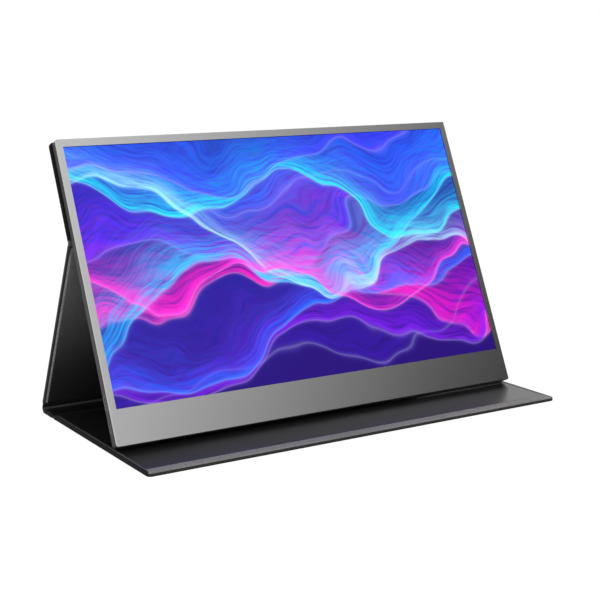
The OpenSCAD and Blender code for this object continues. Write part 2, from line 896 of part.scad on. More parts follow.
// Pressed skins at the upper fold, rounded about the fold's axis
module upper_fold() {
    on_strut() color([0.06, 0.06, 0.06])
        along_x(cover_w, -cover_w / 2)
            intersection() {
                translate([fold_height, -cover_t])
                    union() {
                        circle(r = fold_strip);
                        translate([-fold_strip, 0])
                            square([fold_strip, fold_strip]);
                    }
                translate([strut_y1, -cover_t])
                    square([3 * fold_strip, 2 * fold_strip]);
            }
}

// Outer skin of the spine and the flap, turned over the edges as a hem
module flap_skin() {
    on_desk() color([0.09, 0.09, 0.09])
        difference() {
            panel_form(flap_y0, axis_y, cover_corner_r, fold_r);
            panel_core(flap_y0, flap_y1, cover_corner_r, fold_r);
            panel_core(spine_y0, spine_y1, fold_r, fold_r);
            panel_field(flap_y0 + hem_front, flap_y1 - hem_side, -hem_t - eps, eps);
            panel_field(spine_y0 + hem_spine, spine_y1 - hem_spine, -hem_t - eps, eps, hem_spine);
            translate([-cover_w, flap_y1 + channel_w / 6, -channel_depth])
                cube([2 * cover_w, channel_w * 2 / 3, channel_depth + eps]);
        }
}

module flap_board() {
    on_desk() color([0.45, 0.40, 0.33])
        difference() {
            panel_core(flap_y0, flap_y1, cover_corner_r, fold_r);
            magnet_discs(magnet_r + seat_clear, magnet_t);
        }
}

module spine_board() {
    on_desk() color([0.45, 0.40, 0.33])
        panel_core(spine_y0, spine_y1, fold_r, fold_r);
}

module flap_lining() {
    on_desk() color([0.17, 0.17, 0.17])
        panel_field(flap_y0 + hem_front, flap_y1 - hem_side, -hem_t, -lining_sink);
}

module spine_lining() {
    on_desk() color([0.10, 0.10, 0.10])
        panel_field(spine_y0 + hem_spine, spine_y1 - hem_spine, -hem_t, -lining_sink, hem_spine);
}

// Half-round roll of skin behind the rear fold's axis
module rear_fold() {
    color([0.06, 0.06, 0.06])
        along_x(cover_w, -cover_w / 2)
            intersection() {
                translate([axis_y, axis_z])
                    circle(r = axis_z);
                translate([axis_y, 0])
                    square([2 * axis_z, 2 * axis_z]);
            }
}

// Row of round magnets along the flap's front edge
module magnet_discs(r, t) {
    for (i = [-1.5:1.5])
        translate([i * monitor_w / 4, magnet_y, -hem_t - t])
            cylinder(r = r, h = t);
}

module flap_magnets() {
    on_desk() color([0.75, 0.75, 0.76])
        magnet_discs(magnet_r, magnet_t);
}

front_bezel();
rear_shell();
lcd_cell();
optical_sheets();
light_guide();
reflector_sheet();
led_strip();
panel_tray();
panel_board();
source_films();
display_cable();
main_board();
video_socket();
data_socket();
audio_socket();
key_board();
key_cable();
power_button();
menu_wheel();
speaker_left();
speaker_right();
speaker_leads();
board_screws();
status_light();
back_skin();
back_board();
cling_pad();
strut_skin();
strut_board();
strut_lining();
upper_fold();
flap_skin();
flap_board();
flap_lining();
spine_board();
spine_lining();
rear_fold();
flap_magnets();
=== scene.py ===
import math
import bmesh
import bpy
from mathutils import Matrix, Vector, noise


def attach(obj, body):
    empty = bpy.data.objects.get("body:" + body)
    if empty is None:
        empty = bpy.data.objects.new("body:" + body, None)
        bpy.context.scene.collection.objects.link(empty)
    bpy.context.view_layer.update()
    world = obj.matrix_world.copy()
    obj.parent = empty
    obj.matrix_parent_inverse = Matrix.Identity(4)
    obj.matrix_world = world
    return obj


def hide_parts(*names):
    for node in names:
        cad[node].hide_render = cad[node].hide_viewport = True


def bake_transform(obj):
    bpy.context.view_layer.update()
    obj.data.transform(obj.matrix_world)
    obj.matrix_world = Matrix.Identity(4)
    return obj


print("frame: loading the packed model")
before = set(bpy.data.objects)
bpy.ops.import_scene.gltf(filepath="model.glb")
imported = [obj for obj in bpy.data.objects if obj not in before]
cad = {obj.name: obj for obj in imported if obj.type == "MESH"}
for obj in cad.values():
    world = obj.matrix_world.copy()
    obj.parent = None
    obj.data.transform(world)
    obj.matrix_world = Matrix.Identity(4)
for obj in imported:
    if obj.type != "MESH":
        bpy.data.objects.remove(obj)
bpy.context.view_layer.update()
mm = 0.001

# the camera comes first: everything else is seen through it
camera = {"place": (-0.543300, -0.882365, 0.284204), "yaw": 31.6287, "pitch": 10.8210, "roll": 0.4316,
          "focus": 1346.24, "frame": 600, "sensor": 36, "far": 50}  # focus and frame in pixels


def setCamera():
    yaw, pitch, roll = (math.radians(camera[k]) for k in ("yaw", "pitch", "roll"))
    ahead = Vector((math.sin(yaw) * math.cos(pitch), math.cos(yaw) * math.cos(pitch), -math.sin(pitch)))
    side = Vector((math.cos(yaw), -math.sin(yaw), 0))
    down = ahead.cross(side)
    right = side * math.cos(roll) + down * math.sin(roll)
    up = side * math.sin(roll) - down * math.cos(roll)
    turn = Matrix((right, up, -ahead)).transposed().to_4x4()
    data = bpy.data.cameras.new("camera")
    data.sensor_width = camera["sensor"]
    data.lens = camera["focus"] * camera["sensor"] / camera["frame"]
    data.clip_end = camera["far"]
    eye = bpy.data.objects.new("camera", data)
    eye.matrix_world = Matrix.Translation(camera["place"]) @ turn
    bpy.context.scene.collection.objects.link(eye)
    bpy.context.scene.camera = eye


print("camera")
setCamera()

# millimetres and degrees, as the cover and the casing are drawn
stand = {"lean": 24.1, "width": 356, "height": 229.6, "depthBottom": 8.2, "depthTop": 6.9,
         "thick": 3.2, "pad": 0.3, "foldHeight": 153.3, "footGap": 0.3, "hingeGap": 0.4, "foldStrip": 0.9,
         "flapDepth": 194.6, "overhang": 1.7, "topOver": 0.6, "spine": 17, "channel": 3.6, "lap": 0.7,
         "hemSide": 3.3, "hemFront": 9, "hemSpine": 1.5, "hemFold": 1.2, "corner": 3.5, "cornerFold": 0.6}

taper = math.degrees(math.atan((stand["depthBottom"] - stand["depthTop"]) / stand["height"]))
backLean = stand["lean"] - taper
foldReach = stand["thick"] + stand["pad"]
foldAngle = math.degrees(math.atan(foldReach / stand["foldHeight"]))
lineAngle = 90 - backLean - foldAngle
strutAngle = lineAngle - foldAngle
link = math.hypot(stand["foldHeight"], foldReach)
axisZ = stand["thick"] + stand["footGap"]  # the rear fold's axis
axisY = stand["flapDepth"] / 2 - axisZ
cornerY = axisY - 2 * link * math.cos(math.radians(lineAngle))  # the casing's lower rear edge
faceY = cornerY - stand["depthBottom"] * math.cos(math.radians(stand["lean"]))
faceZ = axisZ + stand["depthBottom"] * math.sin(math.radians(stand["lean"]))
half = stand["width"] / 2 + stand["overhang"]
flapFront = -stand["flapDepth"] / 2
spineEnd = axisY
spineStart = axisY - stand["foldStrip"] - stand["spine"] - stand["lap"]
flapEnd = spineStart - stand["channel"] + stand["lap"]
strutStart = axisZ + stand["hingeGap"]
strutEnd = stand["foldHeight"] - stand["foldStrip"]
backStart = stand["foldHeight"] + stand["foldStrip"] + stand["hingeGap"]
backEnd = stand["height"] / math.cos(math.radians(taper)) + stand["topOver"]


def placed(y, z, degrees, lift=0.0):
    turn = Matrix.Rotation(math.radians(degrees), 4, "X")
    return Matrix.Translation((0, y * mm, z * mm)) @ turn @ Matrix.Translation((0, 0, lift * mm))


onFace = placed(faceY, faceZ, -stand["lean"])
onBack = placed(cornerY, axisZ, 90 - backLean, -stand["pad"])
onStrut = placed(axisY, axisZ, 180 - strutAngle, -stand["pad"])
onDesk = placed(0, stand["thick"], 0)
asDrawn = Matrix.Identity(4)
faceUp, faceIn = (onFace.to_3x3() @ Vector(v) for v in ((0, 0, 1), (0, 1, 0)))


class Wire:  # a node's socket that can stand in a sum
    def __init__(self, nodes, socket):
        self.nodes = nodes
        self.socket = socket

    def __add__(self, other):
        return self.nodes.maths("ADD", self, other)

    def __radd__(self, other):
        return self.nodes.maths("ADD", other, self)

    def __sub__(self, other):
        return self.nodes.maths("SUBTRACT", self, other)

    def __rsub__(self, other):
        return self.nodes.maths("SUBTRACT", other, self)

    def __mul__(self, other):
        return self.nodes.maths("MULTIPLY", self, other)

    def __rmul__(self, other):
        return self.nodes.maths("MULTIPLY", other, self)

    def __truediv__(self, other):
        return self.nodes.maths("DIVIDE", self, other)

    def __gt__(self, other):
        return self.nodes.maths("GREATER_THAN", self, other)

    def __lt__(self, other):
        return self.nodes.maths("LESS_THAN", self, other)


class Nodes:  # a tree of nodes and the ways in which they are added to it
    def __init__(self, tree):
        self.tree = tree
        self.tree.nodes.clear()

    def feed(self, socket, value):
        if isinstance(value, Wire):
            self.tree.links.new(value.socket, socket)
        elif hasattr(value, "__len__") and len(value) == 3 and socket.type == "RGBA":
            socket.default_value = (*value, 1)
        else:
            socket.default_value = value

    def node(self, kind, settings, inputs, out=0):
        made = self.tree.nodes.new("ShaderNode" + kind)
        for key, value in settings.items():
            if key == "stops":  # a colour ramp's two ends
                for element, (at, colour) in zip(made.color_ramp.elements, value):
                    element.position = at
                    element.color = (*colour, 1)
            else:
                setattr(made, key, value)
        for key, value in inputs.items():
            self.feed(made.inputs[key], value)
        return Wire(self, made.outputs[out])

    def maths(self, operation, *values):
        return self.node("Math", {"operation": operation}, dict(enumerate(values)))

    def along(self, spot, way):  # how far a spot lies along a direction
        return self.node("VectorMath", {"operation": "DOT_PRODUCT"}, {0: spot, 1: tuple(way)}, "Value")

    def stretch(self, spot, factors):
        return self.node("VectorMath", {"operation": "MULTIPLY"}, {0: spot, 1: factors})

    def mix(self, factor, a, b, blend="MIX"):
        return self.node("Mix", {"data_type": "RGBA", "blend_type": blend}, {0: factor, 6: a, 7: b}, 2)

    def step(self, value, low, high, a=0.0, b=1.0):
        return self.node("MapRange", {"interpolation_type": "SMOOTHSTEP"}, {0: value, 1: low, 2: high, 3: a, 4: b})


class Finish(Nodes):  # one material: the shader's fixed values, then what varies over it
    def __init__(self, name, **fixed):
        self.material = bpy.data.materials.new(name)
        self.material.use_nodes = True
        super().__init__(self.material.node_tree)
        self.shader = self.tree.nodes.new("ShaderNodeBsdfPrincipled")
        self.output = self.tree.nodes.new("ShaderNodeOutputMaterial")
        self.tree.links.new(self.shader.outputs[0], self.output.inputs[0])
        self.wear(**fixed)
        self.spot = self.node("TexCoord", {}, {}, "Object")

    def wear(self, **values):
        for key, value in values.items():
            self.feed(self.shader.inputs[key.replace("_", " ")], value)
        return self.material

    def onCasing(self, way):  # how far from the face's lower edge, in millimetres
        return (self.along(self.spot, way) - onFace.translation.dot(way)) / mm

    def cloud(self, scale, detail=2, spot=None, rough=0.5):
        return self.node("TexNoise", {}, {"Vector": spot or self.spot, "Scale": scale, "Detail": detail,
                                          "Roughness": rough})

    def cells(self, scale):
        return self.node("TexVoronoi", {}, {"Vector": self.spot, "Scale": scale})

    def bump(self, height, strength, distance):
        return self.node("Bump", {}, {"Height": height, "Strength": strength, "Distance": distance})


def shaded(colour, *factors):
    return [tuple(c * k for c in colour) for k in factors]


print("finishes")
leather = {"grain": 900, "broad": 14, "fine": 2.2, "shades": (0.86, 1.16), "paintedHollowShade": 0.7, "depth": 0.00012,
           # each of its finishes: colour, roughness, size of the grain, its strength, sheen; hide is the cover's own
           # colour, edge is a painted shade of it, and hem, front, lip and rim are painted highlights on it
           "hide": ((0.013, 0.013, 0.0135), 0.50, 1, 0.55, 0.5),
           "edge": ((0.005, 0.005, 0.005), 0.66, 1, 0.4, 0.18),
           "hem": ((0.11, 0.109, 0.107), 0.46, 1.1, 0.3, 0.5),
           "front": ((0.36, 0.35, 0.335), 0.60, 1.1, 0.25, 0.2),
           "lip": ((0.055, 0.055, 0.055), 0.62, 1, 0.3, 0.2),
           "rim": ((0.66, 0.66, 0.66), 0.60, 1.1, 0.25, 0.3)}


def hide(name, colour, rough, size, gain, sheen):  # coated leathercloth
    f = Finish(name, Specular_IOR_Level=sheen)
    grain = leather["grain"] * size
    pebbles = f.cells(grain)
    broad = f.cloud(leather["broad"], 3)
    fine = f.cloud(grain * leather["fine"], 3)
    lift = (1 - pebbles * pebbles) + 0.25 * fine
    tone = f.mix(f.step(broad, 0.3, 0.7), *shaded(colour, *leather["shades"]))
    # darker in the grain's hollows: painted shade
    tone = f.mix(f.step(pebbles, 0.35, 0.75), tone, *shaded(colour, leather["paintedHollowShade"]))
    return f.wear(Base_Color=tone, Roughness=rough - 0.06 + 0.12 * broad + 0.06 * fine,
                  Normal=f.bump(lift, gain, leather["depth"]))


hideBlack = hide("coverHide", *leather["hide"])
# painted shade: a darker copy of the hide for the cover's edges, the back's hem and the rib under the casing
hideEdgeShade = hide("coverEdgeShade", *leather["edge"])
# painted highlight: a lighter copy of the hide for the flap's side hems, the knee and the crease
hideHemHighlight = hide("coverHemHighlight", *leather["hem"])
# painted highlight and reflection: a light grey copy of the hide for the flap's front hem and rounding
hideFrontHighlight = hide("coverFrontHighlight", *leather["front"])
# dimmer painted highlight: the lip under the flap's light front rounding
hideLipDimHighlight = hide("coverLipDimHighlight", *leather["lip"])
# painted highlight: a pale copy of the hide for the strut's rims
hideRimHighlight = hide("coverRimHighlight", *leather["rim"])

# the dark colour and rough value here serve both the shut line and the underside's painted shade
casing = {"bezel": (0.53, 0.53, 0.535), "bezelRough": 0.185, "shell": (0.074, 0.074, 0.076), "shellGloss": 0.50,
          "metal": 0.25, "gap": (0.006, 0.006, 0.006), "jointAndShadeRough": 0.9, "shut": (1.5, 2.1), "underside": (0.35, 0.7),
          "blast": 5200, "broad": 9, "shades": (0.94, 1.06), "grain": (0.16, 0.00004)}


def bezelMetal():  # bead-blasted and anodised
    f = Finish("bezelGrey", Metallic=1.0)
    grain = f.cloud(casing["blast"], 3)
    broad = f.cloud(casing["broad"], 2)
    tone = f.mix(grain, *shaded(casing["bezel"], *casing["shades"]))
    return f.wear(Base_Color=tone, Roughness=casing["bezelRough"] - 0.03 + 0.05 * broad + 0.04 * grain,
                  Normal=f.bump(grain, *casing["grain"]))


def shellPaint():  # painted metal, with a dark shut line behind the bezel and a painted shade that blackens the underside
    f = Finish("shellGrey")
    rise, depth = f.onCasing(faceUp), f.onCasing(faceIn)
    grain = f.cloud(casing["blast"], 3)
    broad = f.cloud(casing["broad"], 2)
    plain = f.mix(grain, *shaded(casing["shell"], *casing["shades"]))
    # 0 in the shut line and on the underside, where the dark is painted shade
    bare = f.step(depth, *casing["shut"]) * f.step(rise, *casing["underside"])
    return f.wear(Base_Color=f.mix(bare, casing["gap"], plain), Metallic=casing["metal"] * bare,
                  Roughness=casing["jointAndShadeRough"] - bare * (casing["shellGloss"] - 0.05 * broad - 0.04 * grain),
                  Normal=f.bump(grain, *casing["grain"]))


cloth = {"dark": (0.010, 0.010, 0.0105), "low": (0.040, 0.040, 0.040), "high": (0.27, 0.27, 0.27),
         "pale": (0.02, 0.135), "sheen": 0.56, "rough": 0.24, "broad": 7, "thread": 2600, "nap": 420,
         "paintedHollowShade": (0.85, 0.85, 0.85), "grain": (0.12, 0.00006)}


def liningCloth(name, low, high):  # smooth cloth; on the strut, painted light makes it paler towards the upper fold
    f = Finish(name, Specular_IOR_Level=cloth["sheen"])
    broad = f.cloud(cloth["broad"], 3)
    fine = f.cloud(cloth["thread"], 4)
    nap = f.cloud(cloth["nap"], 3)
    height = f.along(f.spot, (0.0, 0.0, 1.0))
    # painted light: from low to high up the strut, paler towards the upper fold
    plain = f.mix(f.step(height, *cloth["pale"]), low, high)
    # darker where the nap lies low: painted shade in its hollows
    tone = f.mix(f.step(nap, 0.3, 0.7), f.mix(1.0, plain, cloth["paintedHollowShade"], "MULTIPLY"), plain)
    return f.wear(Base_Color=tone, Roughness=cloth["rough"] + 0.06 * broad + 0.05 * fine,
                  Normal=f.bump(fine + 0.6 * nap, *cloth["grain"]))


liningDark = liningCloth("coverLining", cloth["dark"], cloth["dark"])
# painted light on the strut's lining, paler towards the upper fold
liningPaintedLight = liningCloth("strutLining", cloth["low"], cloth["high"])

screen = {"halfWidth": 172.45, "low": 27.0, "high": 223.3, "aspect": 1.78, "glow": 1.25,
          "glass": (0.006, 0.006, 0.008), "border": (0.002, 0.002, 0.003),
          "night": ((0.030, 0.002, 0.22), (0.004, 0.022, 0.36)), "deepen": 0.5,
          "wander": 0.55, "streaks": (2.6, 17), "streaked": (0.30, 0.62, 0.25, 1.05), "outline": (0.006, 0.30),
          # each ribbon: height, swing, swings across, phase, slant, softness above and below, strength, colour
          "ribbons": [(0.10, 0.08, 6.1, 0.4, 0.30, 0.20, 0.03, 0.92, (0.060, 0.008, 0.40)),
                      (0.82, 0.09, 5.4, 2.2, -0.10, 0.24, 0.10, 0.92, (0.004, 0.24, 0.92)),
                      (0.58, 0.10, 7.3, 1.2, 0.22, 0.16, 0.014, 0.90, (0.13, 0.020, 0.86)),
                      (0.34, 0.13, 6.2, 4.4, -0.25, 0.15, 0.012, 0.92, (0.84, 0.010, 0.50)),
                      (0.46, 0.12, 8.4, 5.6, 0.35, 0.11, 0.010, 0.92, (0.004, 0.62, 0.92)),
                      (0.13, 0.10, 8.9, 2.9, 0.12, 0.11, 0.012, 0.88, (0.26, 0.012, 0.70)),
                      (0.72, 0.09, 9.2, 3.5, -0.30, 0.09, 0.010, 0.90, (0.004, 0.74, 0.86)),
                      (0.90, 0.07, 7.7, 0.9, 0.15, 0.08, 0.012, 0.85, (0.10, 0.05, 0.86)),
                      (0.24, 0.09, 9.9, 1.9, 0.42, 0.07, 0.008, 0.88, (0.004, 0.20, 0.90)),
                      (0.55, 0.14, 8.1, 0.3, -0.45, 0.05, 0.007, 0.70, (0.50, 0.86, 1.0)),
                      (0.40, 0.10, 10.7, 3.1, -0.12, 0.045, 0.006, 0.80, (0.92, 0.04, 0.62))]}


def pictureGlass():  # a generic flowing design of folded ribbons for the lit picture
    f = Finish("pictureGlass", Base_Color=screen["glass"], Roughness=0.32, Specular_IOR_Level=0.15,
               Emission_Strength=screen["glow"])
    across = f.along(f.spot, (1, 0, 0)) / mm
    rise = f.onCasing(faceUp)
    u = (across + screen["halfWidth"]) / (2 * screen["halfWidth"])
    v = (rise - screen["low"]) / (screen["high"] - screen["low"])
    flat = f.node("CombineXYZ", {}, {0: u * screen["aspect"], 1: v, 2: 0.0})
    drift = f.cloud(1.9, 2, flat)
    haze = f.cloud(2.6, 4, flat)
    times, crossing = screen["streaks"]
    width, strong = screen["outline"]
    tone = f.mix(f.step(v + 0.5 * haze - 0.3 * u, 0.05, 1.0), *screen["night"])
    for height, swing, swings, phase, slant, above, below, strength, colour in screen["ribbons"]:
        line = height + slant * (u - 0.5) + swing * f.maths("SINE", swings * u + phase)
        off = v - (line + screen["wander"] * (drift - 0.5))
        folded = f.node("CombineXYZ", {}, {0: u * times + phase, 1: off * crossing, 2: phase})
        streak = f.cloud(4.0, 5, folded, rough=0.62)
        upper = f.maths("EXPONENT", off * (-1 / above))
        lower = f.step(off, -below, below)
        mask = f.maths("MINIMUM", upper * lower, 1.0) * (strength * f.step(streak, *screen["streaked"]))
        tone = f.mix(f.maths("MINIMUM", mask, 1.0), tone, colour)
        edge = f.maths("EXPONENT", f.maths("ABSOLUTE", off) * (-1 / width)) * (strong * strength)
        tone = f.mix(edge, tone, tuple(min(1, c * 0.5 + 0.5) for c in colour))
    tone = f.mix(screen["deepen"], tone, tone, "OVERLAY")  # the darks and the colours
    inside = (f.maths("ABSOLUTE", across) < screen["halfWidth"]) * (rise > screen["low"]) * (rise < screen["high"])
    return f.wear(Emission_Color=f.mix(inside, screen["border"], tone))


socket = {"shell": (0.62, 0.62, 0.63), "tongue": (0.02, 0.02, 0.02), "gilt": (0.72, 0.52, 0.24),
          "middle": 5.38, "halfTongue": 0.42, "turns": 6.283 * 2, "contacts": (0, 0.408, 913)}


def socketMetal():  # drawn shell, with a dark tongue and gilt contacts in the middle
    f = Finish("socketMetal", Metallic=0.9)
    middle = f.maths("ABSOLUTE", f.onCasing(faceIn) - socket["middle"]) < socket["halfTongue"]
    lines = f.maths("SINE", socket["turns"] * f.along(f.spot, socket["contacts"]))
    grain = f.cloud(2400, 3)
    tongue = f.mix(lines > 0.1, socket["tongue"], socket["gilt"])
    return f.wear(Base_Color=f.mix(middle, socket["shell"], tongue), Roughness=0.26 + 0.12 * grain)


plastic = {"spark": 3800, "broad": 60, "shades": (0.88, 1.1), "grain": (0.25, 0.00005)}


def moulded(name, colour, rough):
    f = Finish(name)
    spark = f.cloud(plastic["spark"], 3)
    broad = f.cloud(plastic["broad"], 2)
    tone = f.mix(broad, *shaded(colour, *plastic["shades"]))
    return f.wear(Base_Color=tone, Roughness=rough + 0.1 * spark, Normal=f.bump(spark, *plastic["grain"]))


sheet = {"lines": 900, "drawn": (0.04, 1, 1), "shades": (0.85, 1.1), "grain": (0.2, 0.00005)}


def brushed(name, colour, rough):
    f = Finish(name, Metallic=1.0)
    lines = f.cloud(sheet["lines"], 4, f.stretch(f.spot, sheet["drawn"]))
    tone = f.mix(lines, *shaded(colour, *sheet["shades"]))
    return f.wear(Base_Color=tone, Roughness=rough + 0.15 * lines, Normal=f.bump(lines, *sheet["grain"]))


board = {"tracks": 300.0, "mask": ((0.010, 0.055, 0.026), (0.012, 0.065, 0.030)), "copper": (0.03, 0.13, 0.06),
         "fibre": [(0.3, (0.16, 0.12, 0.08)), (0.7, (0.32, 0.26, 0.18))]}


def circuitBoard():
    f = Finish("circuitBoard")
    light, dark = board["mask"]
    tracks = f.node("TexBrick", {"offset": 0.5}, {"Vector": f.spot, "Scale": board["tracks"], "Mortar Size": 0.03,
                                                  "Color1": light, "Color2": dark, "Mortar": board["copper"]})
    speck = f.cloud(900, 3)
    return f.wear(Base_Color=tracks, Roughness=0.32 + 0.2 * speck, Normal=f.bump(speck, 0.2, 0.00005))


def fibreBoard():
    f = Finish("fibreBoard")
    strands = f.cloud(700, 5, f.stretch(f.spot, (0.25, 1, 1)))
    tone = f.node("ValToRGB", {"stops": board["fibre"]}, {0: strands})
    return f.wear(Base_Color=tone, Roughness=0.86 + 0.08 * strands, Normal=f.bump(strands, 0.5, 0.0002))


worn = ((bezelMetal(), ("front_bezel",)),
        (shellPaint(), ("rear_shell",)),
        (pictureGlass(), ("lcd_cell",)),
        (socketMetal(), ("video_socket", "data_socket")),
        (moulded("keyPlastic", (0.055, 0.055, 0.058), 0.42), ("power_button", "menu_wheel")),
        (moulded("blackPlastic", (0.022, 0.022, 0.022), 0.5), ("audio_socket", "speaker_left", "speaker_right")),
        (circuitBoard(), ("panel_board", "main_board", "key_board")),
        (fibreBoard(), ("back_board", "strut_board", "flap_board", "spine_board")),
        (brushed("sheetSteel", (0.56, 0.57, 0.58), 0.3), ("panel_tray", "board_screws")),
        (moulded("ribbonCable", (0.62, 0.60, 0.52), 0.5), ("display_cable", "key_cable")),
        (moulded("amberFilm", (0.26, 0.12, 0.03), 0.3), ("source_films",)),
        (moulded("milkyFilm", (0.84, 0.85, 0.86), 0.4), ("optical_sheets", "reflector_sheet")),
        (moulded("clearGuide", (0.70, 0.78, 0.82), 0.12), ("light_guide",)),
        (moulded("emitterStrip", (0.82, 0.74, 0.36), 0.4), ("led_strip",)),
        (moulded("redLead", (0.30, 0.02, 0.02), 0.35), ("speaker_leads",)),
        (moulded("lightPipe", (0.66, 0.72, 0.75), 0.1), ("status_light",)),
        (moulded("clingPad", (0.03, 0.03, 0.032), 0.75), ("cling_pad",)),
        (brushed("platedMagnet", (0.62, 0.62, 0.60), 0.2), ("flap_magnets",)))
for material, names in worn:
    for name in names:
        cad[name].data.materials.clear()
        cad[name].data.materials.append(material)


def rounded(panel, sides, y0in, y1in, z, counts):  # one closed ring of a panel's outline
    nx, ny, arc = counts
    w = panel["half"] - sides
    y0, y1 = panel["y0"] + y0in, panel["y1"] - y1in
    r0 = max(panel["r0"] - max(sides, y0in), 0)
    r1 = max(panel["r1"] - max(sides, y1in), 0)
    corners = [(-w + r0, y0 + r0, r0, 180), (w - r0, y0 + r0, r0, 270),
               (w - r1, y1 - r1, r1, 0), (-w + r1, y1 - r1, r1, 90)]
    points = []
    for i, (cx, cy, r, start) in enumerate(corners):
        for k in range(arc + 1):
            a = math.radians(start + 90 * k / arc)
            points.append((cx + r * math.cos(a), cy + r * math.sin(a), z))
        nextX, nextY, nextR, nextStart = corners[(i + 1) % 4]
        a = math.radians(nextStart)
        goal = (nextX + nextR * math.cos(a), nextY + nextR * math.sin(a))
        last = points[-1]
        n = ny if i % 2 else nx
        for k in range(1, n):
            points.append((last[0] + (goal[0] - last[0]) * k / n, last[1] + (goal[1] - last[1]) * k / n, z))
    return points


def finishMesh(name, bm, place, materials):
    bmesh.ops.remove_doubles(bm, verts=bm.verts, dist=1e-4)
    bmesh.ops.dissolve_degenerate(bm, edges=bm.edges, dist=1e-5)
    bmesh.ops.recalc_face_normals(bm, faces=bm.faces)
    bmesh.ops.scale(bm, vec=(mm, mm, mm), verts=bm.verts)
    bmesh.ops.transform(bm, matrix=place, verts=bm.verts)
    mesh = bpy.data.meshes.new(name)
    bm.to_mesh(mesh)
    bm.free()
    for material in materials:
        mesh.materials.append(material)
    for polygon in mesh.polygons:
        polygon.use_smooth = True
    piece = bpy.data.objects.new(name, mesh)
    bpy.context.scene.collection.objects.link(piece)
    return piece


def wave(x, y, z, size):  # slight unevenness of a glued skin
    return noise.noise(Vector((x * 0.021, y * 0.027, z * 0.3 + 5))) * size


# which of its piece's materials a face has; a panel's shades say it of the hem in front, right, behind and left.
# Past the face these are mostly painted highlights and painted shade on the cover's rims and hems
look = {"face": 0, "hem": 1, "rim": 2, "light": 3, "lip": 4}


def sideOf(k, nx, ny, arc):  # which of these sides a face of the ring lies on, to the mitres
    k -= arc // 2
    return 3 if k < 0 else sum(k > end for end in (arc + nx, 2 * arc + nx + ny, 3 * arc + 2 * nx + ny))


def shadeOf(kind, hem):  # the rim's upper rounding takes a light hem's painted highlight, over a dimmer painted highlight on the lip
    if kind == "hem":
        return hem
    if kind in ("crown", "brow"):
        light = look["light" if kind == "crown" else "lip"]
        return light if hem == look["light"] else look["rim"]
    return look[kind]


def panelPiece(name, panel, rings, place, materials, counts=(28, 16, 5)):
    bm = bmesh.new()
    shades = panel.get("shades", (look["hem"],) * 4)
    loops = [[bm.verts.new(p) for p in rounded(panel, *ring[:4], counts)] for ring in rings]
    for a, b, ring in zip(loops, loops[1:], rings[1:]):
        for k in range(len(a)):
            n = (k + 1) % len(a)
            face = bm.faces.new((a[k], a[n], b[n], b[k]))
            face.material_index = shadeOf(ring[4], shades[sideOf(k, *counts)])
    for ring in (rings[0], rings[-1]):
        fillPanel(bm, panel, ring, counts)
    return finishMesh(name, bm, place, materials)


def fillPanel(bm, panel, ring, counts):
    nx, ny = counts[:2]
    w = panel["half"] - ring[0]
    y0, y1 = panel["y0"] + ring[1], panel["y1"] - ring[2]
    z = ring[3]
    grid = []
    for j in range(ny + 1):
        row = []
        for i in range(nx + 1):
            x, y = -w + 2 * w * i / nx, y0 + (y1 - y0) * j / ny
            lift = 0 if i in (0, nx) or j in (0, ny) else wave(x, y, z, panel["wave"])
            if z == -panel["t"]:  # the outer face, which can lie on the desk
                lift = max(lift, 0)
            row.append(bm.verts.new((x, y, z + lift)))
        grid.append(row)
    for j in range(ny):
        for i in range(nx):
            face = bm.faces.new((grid[j][i], grid[j][i + 1], grid[j + 1][i + 1], grid[j + 1][i]))
            face.material_index = look[ring[4]]


# dark: how far in a rim keeps its darker material, before the hem and its painted highlight begin
rim = {"flat": 5, "pressed": ((1.9, 0), (1.55, 0.07), (1.25, 0.01)), "under": 0.8, "over": 1.3, "dark": 1.5,
       "least": 0.1, "inner": 0.6, "hem": ((-0.45, -0.01), (-0.12, -0.07), (0, -0.2), (0.01, -0.52)),
       "liningGap": 0.04, "liningFoot": -0.5, "sunk": 0.15, "lining": ((0, 0.12), (0.12, 0.03), (0.5, 0), (1.5, 0))}


# a ring: how far in from the sides, the front and the rear, at what height, and what it closes
def evenRing(inset, z, kind):
    return (inset, inset, inset, z, kind)


def shellRings(panel):  # outer face, rounded rim, turned hem and the floor under the lining
    t = panel["t"]
    side, front, back = panel["hem"]
    dark = panel.get("dark", rim["dark"])
    under, over = rim["under"], min(rim["over"], dark - rim["least"])
    rings = [evenRing(rim["flat"], -t, "face")]
    rings += [evenRing(inset, -t + rise, "face") for inset, rise in rim["pressed"]]
    for degrees, kind in ((20, "face"), (45, "rim"), (70, "rim"), (90, "rim")):
        a = math.radians(degrees)
        rings.append(evenRing(under * (1 - math.sin(a)), -t + under * (1 - math.cos(a)), kind))
    for degrees, kind in ((90, "brow"), (65, "brow"), (40, "crown"), (20, "crown"), (0, "crown")):
        a = math.radians(degrees)
        rings.append(evenRing(over * (1 - math.sin(a)), -over * (1 - math.cos(a)), kind))
    rings.append((dark, min(dark, front - rim["inner"]), min(dark, back - rim["inner"]), 0.0, "crown"))
    rings += [(side + inset, front + inset, back + inset, z, "hem") for inset, z in rim["hem"]]
    return rings


def liningRings(panel):
    side, front, back = (h + rim["liningGap"] for h in panel["hem"])
    rings = [(side, front, back, rim["liningFoot"], "face")]
    rings += [(side + inset, front + inset, back + inset, -rim["sunk"] - z, "face") for inset, z in rim["lining"]]
    return rings


